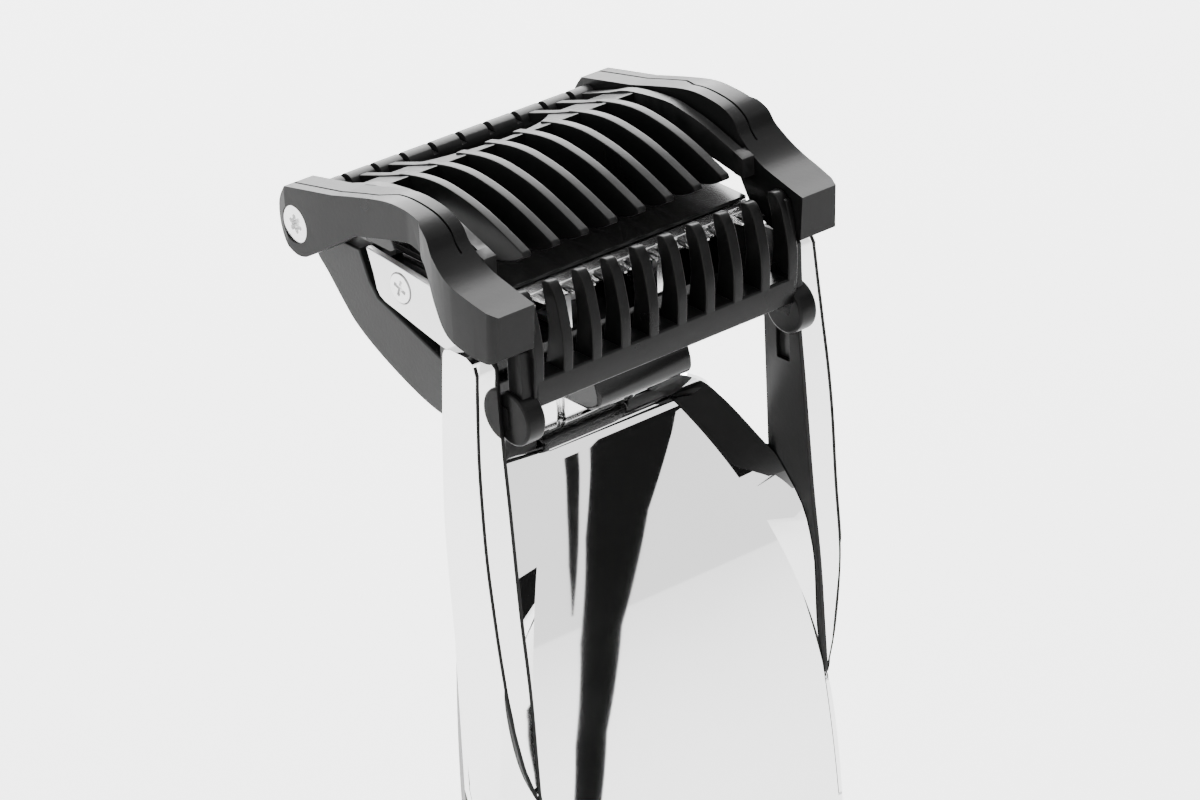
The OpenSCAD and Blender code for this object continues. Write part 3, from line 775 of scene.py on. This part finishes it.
for sign in SIGNS:
    rail = slab("side rail", rail_side, "X", 16.5 * sign, 17.7 * sign)
    foot = slab("rail foot", foot_side, "X", 16.5 * sign, 18.1 * sign)
    ledge = slab("ledge", ledge_side, "X", 17.1 * sign, 18.1 * sign)
    add(rail, foot)
    add(rail, ledge)
    ribs.append(soften(rail, 0.14, 2))
BUILT.append((merge("comb ribs", ribs), "comb", "comb_plastic", ["comb_ribs"]))
print("pieces so far:", len(BUILT))

# %% [markdown]
# Each side frame is an arch seen from the side and a gentle S from above, so one
# outline is drawn in each direction and only what both hold is kept. A fine seam on
# its top shows where the real frame's cover panel snaps in.

# %% Side frames
FRAME_SIDE = curve_through(
    [(19.9, 169.4), (21.2, 168.75), (22.8, 168.65), (24.6, 169.6), (25.55, 171.6), (25.4, 174), (24, 176)],
    4,
)
FRAME_SIDE += curve_through(
    [
        (15.6, 177.6), (11, 178.8), (6.8, 179.75), (4, 179.95), (0.8, 179.55), (-1.3, 178.5),
        (-2.4, 176.9), (-5.2, 175), (-9.1, 173.9), (-12.1, 173.2),
    ],
    4,
)
FRAME_SIDE += curve_through(
    [
        (-11.6, 168.2), (-10.4, 167.75), (-7.1, 168.1), (-4.2, 169.2), (-2.2, 172), (-0.6, 175.2),
        (1.6, 176.2), (4.1, 176.1), (12, 174.1),
    ],
    4,
)
FRAME_PLAN = [(18.2, 26), (21.6, 26)]
FRAME_PLAN += curve_through(
    [(22, 24), (22, 3), (22.6, 0), (23.3, -3.4), (23.4, -7), (22.5, -12.3), (17.9, -12.3)], 3
)
FRAME_PLAN += [(18.1, -4), (18.2, 0)]
PANEL_LINE = [
    (20.55, 24), (20.8, 24), (20.8, 9.1), (19.9, 6.9), (19.9, -3), (19.65, -3), (19.65, 7), (20.55, 9.2),
]
SEAM_DEPTH = 0.45
for side_name, sign in SIDES:
    side_frame = slab(f"{side_name} comb frame", FRAME_SIDE, "X", 17 * sign, 24 * sign)
    keep(side_frame, slab("plan", sided(FRAME_PLAN, sign), "Z", 160, 185))
    seam_cut = slab("panel seam", sided(PANEL_LINE, sign), "Z", 173, 182)
    under = [(y, z - SEAM_DEPTH) for y, z in FRAME_SIDE]
    carve(seam_cut, slab("below the top", under, "X", 17 * sign, 24 * sign))
    carve(side_frame, seam_cut)
    carve(side_frame, rod("screw seat", "X", 2.12, COMB_SCREW, 21 * sign, 25 * sign))
    carve(side_frame, rod("screw hole", "X", 1.15, COMB_SCREW, 17 * sign, 25 * sign))
    soften(side_frame, 0.28, 3, angle=38)
    BUILT.append((side_frame, "comb", "comb_plastic", [f"comb_side_frame_{side_name}"]))
print("pieces so far:", len(BUILT))

# %% [markdown]
# The rear bar joins the two side frames. It is a round bar with a wall under it, a
# fat end for each screw and a row of notches, all welded and cut as one moulding.

# %% Rear bar
BAR_END = 18.15
bar = rod("rear bar", "X", 1.2, (22.7, 174.3), -BAR_END, BAR_END)
add(bar, block("bar wall", (21.6, 22.7), (170.6, 174.3), "X", -BAR_END, BAR_END))
for sign in SIGNS:
    add(bar, rod("bar end", "X", 2.2, COMB_SCREW, 15 * sign, BAR_END * sign))
for i in range(9):
    x = (i - 4) * RIB_PITCH
    carve(bar, block("notch", (x - 0.35, x + 0.35), (21, 23.6), "Z", 174.6, 178))
for sign in SIGNS:
    carve(bar, rod("screw hole", "X", 0.8, COMB_SCREW, 14 * sign, 19 * sign))
soften(bar, 0.1, 2)
BUILT.append((bar, "comb", "comb_plastic", ["comb_rear_bar"]))
print("rear bar:", len(bar.data.polygons), "faces")

# %% [markdown]
# The comb's screws have a six-lobe star. A real star is punched in one stroke, and
# here it is one round hole with six small ones round it, which look the same.

# %% Six-lobe screws
STAR_FLOOR = 21.3
STAR_TURN = 0.3
screws = []
for sign in SIGNS:
    screw = rod("comb screw", "X", 2.05, COMB_SCREW, 21.05 * sign, 21.8 * sign, sides=64)
    add(screw, rod("shank", "X", 0.75, COMB_SCREW, 15.2 * sign, 21.2 * sign))
    carve(screw, rod("star centre", "X", 0.72, COMB_SCREW, STAR_FLOOR * sign, 23 * sign))
    for i in range(6):
        a = i * math.pi / 3 + STAR_TURN
        centre = (COMB_SCREW[0] + 0.8 * math.cos(a), COMB_SCREW[1] + 0.8 * math.sin(a))
        carve(screw, rod("star lobe", "X", 0.27, centre, STAR_FLOOR * sign, 23 * sign, sides=20))
    screws.append(soften(screw, 0.07, 2))
BUILT.append((merge("comb screws", screws), "comb", "steel_hardware", ["comb_screws"]))
print("pieces so far:", len(BUILT))

# %% [markdown]
# The front comb is the row of bowed teeth that lifts the hair. Each tooth stands on a
# bar, and a leg at each end carries the round boss and the pin that runs in the arm.

# %% Front comb
tooth_side = curve_through(
    [
        (-8.2, 173.15), (-8.9, 173.3), (-9.6, 173.1), (-10.4, 171.8), (-10.9, 170), (-11.35, 167.5),
        (-11.3, 165), (-11, 162.6), (-10.8, 161.2),
    ],
    3,
)
tooth_side += [(-8.2, 161.2), (-8.2, 164.1), (-8.6, 166), (-8.9, 168), (-8.7, 170.5), (-8.3, 172)]
first_x = -4.5 * RIB_PITCH
tooth = slab("tooth", tooth_side, "X", first_x - TOOTH_HALF, first_x + TOOTH_HALF)
teeth = row_of(soften(tooth, 0.22, 3), 10, RIB_PITCH)
tooth_bar_side = [(-8.2, 160.8), (-10.8, 160.8), (-11.1, 162.6), (-11.2, 164.1), (-8.2, 164.1)]
tooth_bar = slab("tooth bar", tooth_bar_side, "X", -17.5, 17.5)
teeth.append(soften(tooth_bar, 0.3, 3))
end_side = [(-8.4, 166.8), (-11.3, 166.8), (-11.0, 170), (-10.3, 172.6), (-8.4, 172.6)]
for sign in SIGNS:
    end_block = slab("end block", end_side, "X", 17.1 * sign, 17.85 * sign)
    teeth.append(soften(end_block, 0.15, 2))
    leg = block("leg", (-10.6, -8.3), (BOSS[1], 167.5), "X", 17.2 * sign, 19 * sign)
    boss = soften(rod("boss", "X", 2.9, BOSS, 17.2 * sign, 19.6 * sign), 0.35, 3)
    pin = block("guide pin", (-9, -5.35), PIN_Z, "X", 18.6 * sign, 19.75 * sign)
    add(pin, block("slot pin", (-6.65, -5.35), PIN_Z, "X", 19.3 * sign, 20.5 * sign))
    teeth += [soften(leg, 0.25, 2), boss, pin]
BUILT.append((merge("front comb", teeth), "comb", "comb_plastic", ["front_comb"]))
print("pieces so far:", len(BUILT))

# %% [markdown]
# ## Finishes
# Nothing on the real thing is one flat colour: moulded plastic has a fine spark
# grain, plated parts carry polishing haze, and edges rub brighter in the hand. The
# grain and the rubbed edges are two small node groups that every finish shares.


# %% Building node groups
def group_with(name, inputs, outputs):
    """A new node group with float or vector inputs and float outputs."""
    tree = bpy.data.node_groups.new(name, "ShaderNodeTree")
    for label, kind, value in inputs:
        plug = tree.interface.new_socket(label, in_out="INPUT", socket_type=kind)
        if value is not None:
            plug.default_value = value
    for label in outputs:
        tree.interface.new_socket(label, in_out="OUTPUT", socket_type="NodeSocketFloat")
    return tree, tree.nodes.new("NodeGroupInput"), tree.nodes.new("NodeGroupOutput")


def math_node(tree, how, first, second):
    """One math node: each input is a number or another node's socket."""
    node = tree.nodes.new("ShaderNodeMath")
    node.operation = how
    for plug, value in zip(node.inputs, (first, second)):
        if isinstance(value, (int, float)):
            plug.default_value = value
        else:
            tree.links.new(value, plug)
    return node.outputs[0]


def noise_node(tree, vector, scale, detail=3.0, roughness=0.55):
    """A noise texture on object coordinates."""
    node = tree.nodes.new("ShaderNodeTexNoise")
    node.inputs["Detail"].default_value = detail
    node.inputs["Roughness"].default_value = roughness
    tree.links.new(vector, node.inputs["Vector"])
    if isinstance(scale, (int, float)):
        node.inputs["Scale"].default_value = scale
    else:
        tree.links.new(scale, node.inputs["Scale"])
    return node.outputs[0]


print("node helpers ready")

# %% [markdown]
# The grain group mixes a fine spark texture with a broad cloud. The wear group finds
# convex edges and breaks them up with noise, as a hand rubs them unevenly.

# %% Shared effects
GRAIN, g_in, g_out = group_with(
    "moulding grain",
    [("Vector", "NodeSocketVector", None), ("Scale", "NodeSocketFloat", 900.0)],
    ["Grain", "Cloud"],
)
fine = noise_node(GRAIN, g_in.outputs["Vector"], g_in.outputs["Scale"], 2.0)
broad = noise_node(GRAIN, g_in.outputs["Vector"], 45.0, 4.0)
GRAIN.links.new(fine, g_out.inputs["Grain"])
GRAIN.links.new(broad, g_out.inputs["Cloud"])

WEAR, w_in, w_out = group_with(
    "rubbed edges",
    [("Vector", "NodeSocketVector", None), ("Reach", "NodeSocketFloat", 8.0)],
    ["Mask"],
)
shape = WEAR.nodes.new("ShaderNodeNewGeometry").outputs["Pointiness"]
ridge = math_node(WEAR, "MULTIPLY", math_node(WEAR, "SUBTRACT", shape, 0.52), w_in.outputs["Reach"])
patch = math_node(WEAR, "SUBTRACT", noise_node(WEAR, w_in.outputs["Vector"], 400.0, 5.0), 0.25)
rub = math_node(WEAR, "MULTIPLY", ridge, patch)
held = WEAR.nodes.new("ShaderNodeClamp")
WEAR.links.new(rub, held.inputs["Value"])
WEAR.links.new(held.outputs[0], w_out.inputs["Mask"])
print("effects:", [g.name for g in bpy.data.node_groups])


# %% [markdown]
# A finish is one material for one resin, plating or metal. They differ only in colour,
# roughness, metal and grain, so one function builds them all.


# %% One finish
def finish(
    name, dark, light, rough, metal=0.0, grain=0.1, scale=900.0, wear=0.3, rubbed=None, coat=0.0, spec=0.5
):
    """A procedural material: mottled colour, grained surface and rubbed edges.

    dark and light are the two ends of the mottling, rough its roughness range, grain
    the depth of the surface grain in micrometres and scale its fineness per metre.
    wear is how strongly edges show the rubbed colour, coat a thin clear varnish.
    """
    material = bpy.data.materials.new(name)
    material.use_nodes = True
    tree = material.node_tree
    shader = tree.nodes["Principled BSDF"]
    shader.inputs["Metallic"].default_value = metal
    shader.inputs["Coat Weight"].default_value = coat
    shader.inputs["Coat Roughness"].default_value = 0.12
    shader.inputs["Specular IOR Level"].default_value = spec
    place = tree.nodes.new("ShaderNodeTexCoord").outputs["Object"]

    surface = tree.nodes.new("ShaderNodeGroup")
    surface.node_tree = GRAIN
    surface.inputs["Scale"].default_value = scale
    tree.links.new(place, surface.inputs["Vector"])
    edges = tree.nodes.new("ShaderNodeGroup")
    edges.node_tree = WEAR
    tree.links.new(place, edges.inputs["Vector"])

    mottle = tree.nodes.new("ShaderNodeValToRGB")
    mottle.color_ramp.elements[0].position = 0.3
    mottle.color_ramp.elements[1].position = 0.7
    mottle.color_ramp.elements[0].color = (*dark, 1)
    mottle.color_ramp.elements[1].color = (*light, 1)
    tree.links.new(surface.outputs["Cloud"], mottle.inputs["Fac"])
    worn = tree.nodes.new("ShaderNodeMix")
    worn.data_type = "RGBA"
    worn.inputs["B"].default_value = (*(rubbed or [min(1, c * 2.2 + 0.02) for c in light]), 1)
    tree.links.new(mottle.outputs["Color"], worn.inputs["A"])
    amount = math_node(tree, "MULTIPLY", edges.outputs["Mask"], wear)
    tree.links.new(amount, worn.inputs["Factor"])
    tree.links.new(worn.outputs["Result"], shader.inputs["Base Color"])

    sheen = tree.nodes.new("ShaderNodeMapRange")
    sheen.inputs["To Min"].default_value = rough[0]
    sheen.inputs["To Max"].default_value = rough[1]
    sheen.inputs["From Min"].default_value = 0.3
    sheen.inputs["From Max"].default_value = 0.7
    tree.links.new(surface.outputs["Cloud"], sheen.inputs["Value"])
    tree.links.new(sheen.outputs["Result"], shader.inputs["Roughness"])

    bump = tree.nodes.new("ShaderNodeBump")
    bump.inputs["Distance"].default_value = grain * 1e-6
    tree.links.new(surface.outputs["Grain"], bump.inputs["Height"])
    tree.links.new(bump.outputs["Normal"], shader.inputs["Normal"])
    return material


def grey(value):
    """A neutral colour."""
    return (value, value, value)


print("finish() builds one material")

# %% [markdown]
# The clipper uses a plated shell, four black or dark plastics, bare steel and brass,
# and the colours of its inner parts, which show when the shells are hidden.

# %% The finishes
FINISH = {
    "chrome_housing": finish(
        "plated shell", grey(0.80), grey(0.84), (0.015, 0.035), metal=1, grain=0.05, scale=150,
        wear=0.2, rubbed=grey(0.92),
    ),
    "grip_plastic": finish(
        "grip plastic", grey(0.005), grey(0.009), (0.36, 0.48), grain=12, scale=2600, wear=0.3,
        spec=0.15,
    ),
    "comb_plastic": finish(
        "comb plastic", grey(0.002), grey(0.004), (0.26, 0.36), grain=6, scale=2200, wear=0.25,
        spec=0.09,
    ),
    "gloss_black": finish(
        "gloss black", grey(0.004), grey(0.006), (0.12, 0.2), grain=0.5, scale=900, wear=0.2, coat=0.04,
        spec=0.2,
    ),
    "inner_plastic": finish(
        "shell plastic", grey(0.007), grey(0.012), (0.34, 0.46), grain=6, scale=2200, wear=0.3,
        spec=0.15,
    ),
    "white_plastic": finish(
        "white moulding", grey(0.72), grey(0.80), (0.4, 0.55), grain=4, scale=1500, wear=0.2,
    ),
    "battery_sleeve": finish(
        "cell sleeve", (0.05, 0.22, 0.28), (0.07, 0.28, 0.34), (0.3, 0.42), grain=3, scale=700,
        wear=0.2,
    ),
    "board_green": finish(
        "circuit board", (0.01, 0.10, 0.05), (0.02, 0.15, 0.07), (0.3, 0.45), grain=4, scale=1200,
        wear=0.3,
    ),
    "motor_can": finish(
        "motor can", grey(0.45), grey(0.55), (0.25, 0.4), metal=1, grain=3, scale=1500, wear=0.3,
    ),
    "silver_plate": finish(
        "satin silver", grey(0.60), grey(0.68), (0.30, 0.42), metal=0.85, grain=3, scale=2500, wear=0.3,
    ),
    "steel_hardware": finish(
        "screw steel", grey(0.62), grey(0.74), (0.2, 0.34), metal=1, grain=2, scale=3000, wear=0.3,
    ),
    "contact_brass": finish(
        "contact brass", (0.62, 0.45, 0.18), (0.72, 0.54, 0.24), (0.22, 0.36), metal=1, grain=2,
        scale=1500, wear=0.2,
    ),
    "blade_steel": finish(
        "ground blade steel", grey(0.55), grey(0.66), (0.16, 0.28), metal=1, grain=2, scale=3500,
        wear=0.3,
    ),
}
print("finishes:", len(FINISH))


# %% [markdown]
# ## Painting the frame
# The moulds of a range like this share a handful of resins and platings, so each
# node is painted from the slot the CAD record gives it. Pieces that replace a node
# take the same slot, so a new colour way only needs one finish changed.

# %% Paint every node
SLOT_OF = {}
for node in frame["record"]["subparts"]:
    SLOT_OF[node["node"]] = node["material_slot"]


def paint(piece, slot_name):
    """Give a piece the finish of a slot."""
    piece.data.materials.clear()
    piece.data.materials.append(FINISH[slot_name])


for node_name, node in frame["nodes"].items():
    node.data.materials.clear()
    node.data.materials.append(FINISH[SLOT_OF[node_name]])
print("painted", len(SLOT_OF), "nodes")

# %% [markdown]
# ## Putting the pieces on the frame
# Each piece rides on its CAD body, so it moves with the joint, and stands for the
# CAD node of the same part. The smaller nodes inside keep their CAD shape.

# %% Ride, replace, paint
for piece, body, slot_name, nodes in BUILT:
    piece.name = piece.name.replace(" ", "_")
    paint(piece, slot_name)
    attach(piece, body)
    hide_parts(*nodes)
print("pieces on the frame:", len(BUILT))

# %% [markdown]
# ## The room
# A mirror only looks like metal when it has something to reflect, so the room is a
# pale floor and backdrop, big soft lights, and three dark cards that give the plating
# its black stripes.


# %% Flat surfaces
def plain(name, value, glow=0.0, rough=0.8):
    """A near-flat studio surface with a faint cloud in its tone and a glow of its own."""
    tones = (grey(value * 0.985), grey(value))
    paint_of = finish(name, *tones, (rough, rough), grain=1, scale=60, wear=0, spec=0)
    shader = paint_of.node_tree.nodes["Principled BSDF"]
    shader.inputs["Emission Color"].default_value = (1, 1, 1, 1)
    shader.inputs["Emission Strength"].default_value = glow
    return paint_of


def panel(name, centre, across, upward, width, height):
    """A flat rectangle in the room, facing across x upward, sizes in metres."""
    bpy.ops.object.select_all(action="DESELECT")
    bpy.ops.mesh.primitive_plane_add(size=1)
    card = bpy.context.object
    card.name = name
    across, upward = Vector(across).normalized(), Vector(upward).normalized()
    facing = across.cross(upward).normalized()
    upward = facing.cross(across)
    turn = Matrix((across * width, upward * height, facing)).transposed().to_4x4()
    card.matrix_world = Matrix.Translation(Vector(centre)) @ turn
    return card


print("panels stand for the floor, the backdrop and the cards")

# %% [markdown]
# The floor and backdrop are pale and glow a little, so the air between them is bright
# and every dark part stands out.

# %% Floor, backdrop and air
BACK_OFF = 1.6
floor = panel("floor", (0, 0, 0), (1, 0, 0), (0, 1, 0), 6, 6)
floor.data.materials.append(plain("floor paint", 0.86, glow=0.8))
backdrop = panel("backdrop", (0.55 * BACK_OFF, 0.7 * BACK_OFF, 0), (0.78, -0.62, 0), (0, 0, 1), 8, 6)
backdrop.data.materials.append(plain("backdrop paint", 0.84, glow=1.0))
world = bpy.data.worlds.new("studio air")
bpy.context.scene.world = world
world.use_nodes = True
air = world.node_tree.nodes["Background"]
air.inputs["Color"].default_value = (1, 1, 1, 1)
air.inputs["Strength"].default_value = 2.0
print("room:", floor.name, "and", backdrop.name)

# %% [markdown]
# The dark stripe down the front is the mirror image of a black card hung in front of
# the handle. Its edges are placed by bouncing the sight line off the front facet on to
# a plane 75 mm out, so they land where they are wanted.

# %% Dark cards
EYE = Vector((-293.7, -367.3, 387.3))


def bounced(x, z, reach=75):
    """Where the sight line to a point of the front facet goes on to, in mm."""
    spot_on = Vector((x, front(z), z))
    facing = Vector((0, -1, (front(z + 0.1) - front(z - 0.1)) / 0.2)).normalized()
    way = (spot_on - EYE).normalized().reflect(facing)
    stand = Vector((0.57, -0.82, 0)).normalized()
    return spot_on + way * (reach - spot_on.dot(stand)) / way.dot(stand)


def flag(name, left, right):
    """A dark card whose mirror image has these edges on the facet, as (z, x) pairs."""
    edges = left + right[::-1]
    ring = [bounced(x, z) * MM for z, x in edges]
    card = start_piece(name)
    draw_ring(ring)
    bpy.ops.mesh.select_all(action="SELECT")
    bpy.ops.mesh.edge_face_add()
    bpy.ops.object.mode_set(mode="OBJECT")
    return settle(card)


dark_paint = plain("flag cloth", 0.004, rough=0.9)
STRIPE_LEFT = [(88, -19), (100, -18), (113, -16.3), (120, -14.5), (130, -11.2), (140, -7.2), (150.4, -2.4)]
STRIPE_RIGHT = [(88, -14.5), (100, -13.6), (113, -12.3), (120, -10.1), (130, -5.4), (140, 1.5), (150.4, 10.6)]
SLIM_LEFT = [(133, -11.4), (138, -10.2), (143, -8.6), (148, -6.9)]
SLIM_RIGHT = [(133, -11.2), (138, -8.9), (143, -6.9), (148, -4.9)]
stripe = flag("stripe flag", STRIPE_LEFT, STRIPE_RIGHT)
slim = flag("slim flag", SLIM_LEFT, SLIM_RIGHT)
hood = panel("hood", (0.85, -0.60, 0.40), (0.58, 0.82, 0), (0, 0, 1), 0.56, 0.96)
for card in (stripe, slim, hood):
    card.data.materials.append(dark_paint)
    card.visible_camera = False
    card.visible_shadow = False
    card.visible_diffuse = False
print("stripe flag in mm:", [round(d / MM) for d in stripe.dimensions])


# %% [markdown]
# Three soft boxes light the clipper from above, behind and the left. Large lights make
# soft highlights, which is how satin plastic and brushed steel show their form.


# %% Lights
def soft_light(name, place, target, size, power):
    """A square soft box aimed at a point."""
    lamp = bpy.data.lights.new(name, "AREA")
    lamp.shape = "SQUARE"
    lamp.size = size
    lamp.energy = power
    holder = bpy.data.objects.new(name, lamp)
    bpy.context.scene.collection.objects.link(holder)
    holder.location = place
    holder.rotation_euler = (Vector(target) - Vector(place)).to_track_quat("-Z", "Y").to_euler()
    holder.visible_camera = False
    return holder


AIM = (0, 0, 0.15)
soft_light("top box", (0.1, 0.3, 1.1), AIM, 0.9, 9)
soft_light("back box", (0.6, 0.8, 0.7), AIM, 0.8, 30)
soft_light("left box", (-0.9, 0.1, 0.5), AIM, 0.6, 4)
print("room ready")

# %% [markdown]
# ## Camera
# A long lens keeps the handle's upright edges nearly parallel. The camera stands in
# front, to the left and above, and its own right and up directions give its turn.

# %% Camera
camera_data = bpy.data.cameras.new("camera")
camera_data.lens = 150
camera_data.sensor_width = 36
camera_data.clip_start = 0.01
camera = bpy.data.objects.new("camera", camera_data)
bpy.context.scene.collection.objects.link(camera)
bpy.context.scene.camera = camera
right = Vector((0.76689, -0.64026, -0.04413))
up = Vector((0.31748, 0.31870, 0.89311))
back = right.cross(up)
turn = Matrix((right, up, back)).transposed().to_4x4()
camera.matrix_world = Matrix.Translation((-0.29368, -0.36731, 0.38730)) @ turn
print("camera lens:", camera_data.lens, "mm")

# %% [markdown]
# ## Last update
# The built pieces must fill the same box as the CAD. The view layer is updated at the end
# so every piece sits in its place.

# %% Update the view layer
bpy.context.view_layer.update()
